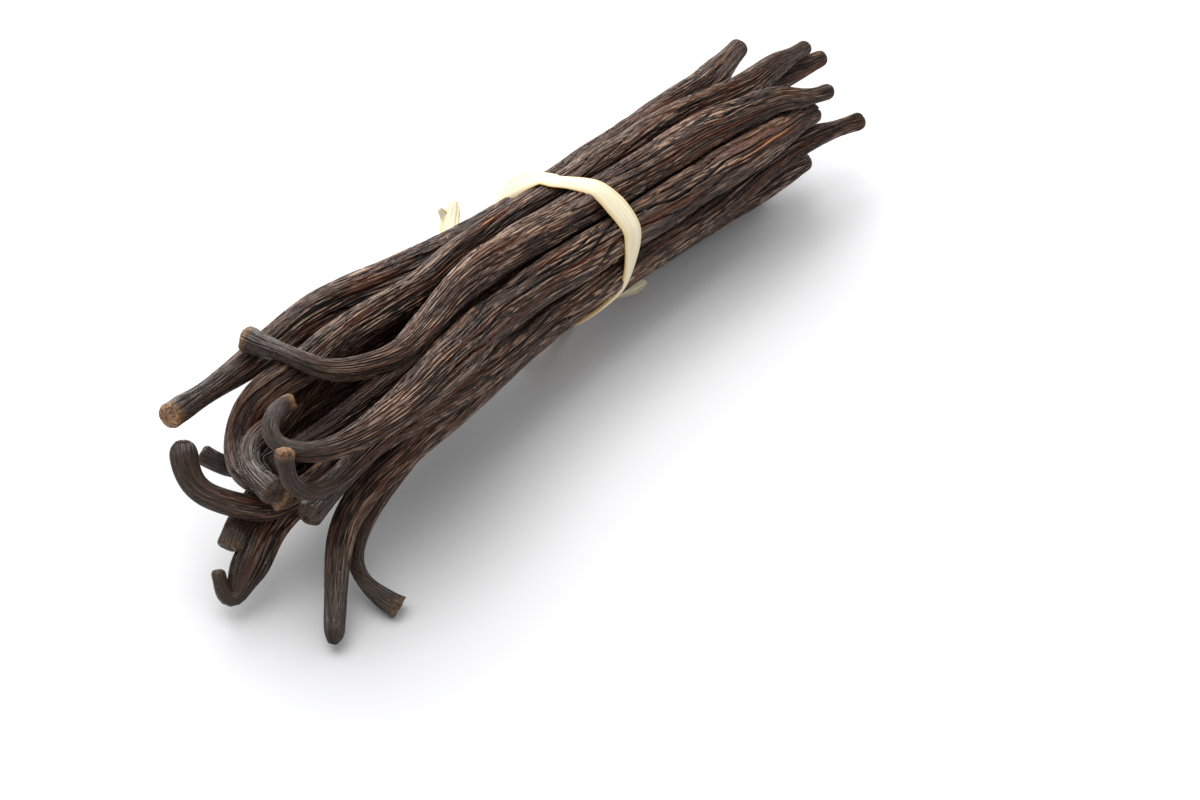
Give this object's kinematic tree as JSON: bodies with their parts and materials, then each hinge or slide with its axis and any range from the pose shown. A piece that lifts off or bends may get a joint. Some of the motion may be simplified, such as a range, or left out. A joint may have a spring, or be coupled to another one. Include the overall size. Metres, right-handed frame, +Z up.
{
  "type": "bundle of vanilla pods",
  "caption": "Bundle of whole cured vanilla pods with hooked stem ends, tied round the middle with a strip of raffia, lying on its side.",
  "frame": {"origin": "on the table, under the middle of the bundle's box", "axes": "+X along the bundle towards the straight tips of the pods, +Y to the left, +Z up"},
  "size_m": [0.1688, 0.0632, 0.0335],
  "materials": {
    "pod_skin": "wrinkled, slightly oily dark brown skin with greyish crests and near-black creases",
    "raffia": "dry, pale cream palm fibre, matt with fine lengthwise fibres"
  },
  "bodies": {
    "root": {"pod_straight": "pod_skin", "pod_crossing": "pod_skin", "pod_outer_hook": "pod_skin", "pod_inner_hook": "pod_skin", "pod_short_stem": "pod_skin", "pod_top_hook": "pod_skin", "pod_side_hook": "pod_skin", "pod_long_drop": "pod_skin", "pod_flared_drop": "pod_skin", "pod_blunt": "pod_skin", "pod_wide_curl": "pod_skin", "pod_stub": "pod_skin", "pod_low_curl": "pod_skin", "pod_core": "pod_skin", "raffia_tie": "raffia"}
  },
  "joints": []
}
